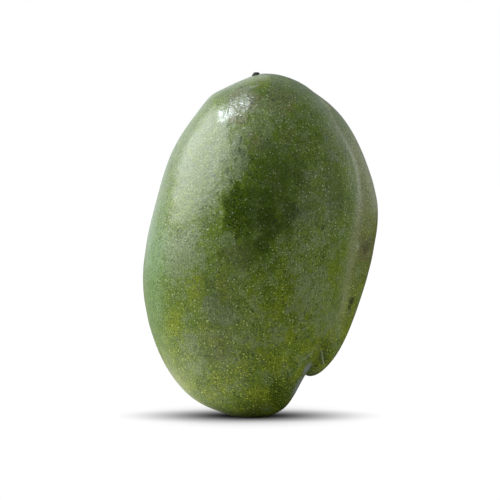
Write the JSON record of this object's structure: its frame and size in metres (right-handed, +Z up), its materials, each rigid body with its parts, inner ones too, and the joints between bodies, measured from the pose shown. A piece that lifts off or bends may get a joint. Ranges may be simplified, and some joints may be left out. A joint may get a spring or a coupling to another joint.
{
  "type": "green mango",
  "caption": "Whole unripe green mango that stands on a small flat spot at its foot, with a beak and notch low on one side and the stub of its stalk on top.",
  "frame": {"origin": "on the floor, under the middle of the fruit's box", "axes": "+Z up from the foot to the stalk; +X across the broad side, towards the ridge and beak; +Y through the fruit's thickness, away from the side that the picture shows"},
  "size_m": [0.089, 0.074, 0.1299],
  "materials": {
    "skin": "waxy green fruit skin, half gloss, with a grey bloom and many small pale yellow-green dots",
    "stalk": "dry dark brown wood, matte"
  },
  "bodies": {
    "root": {"fruit": "skin", "stem_stub": "stalk"}
  },
  "joints": []
}
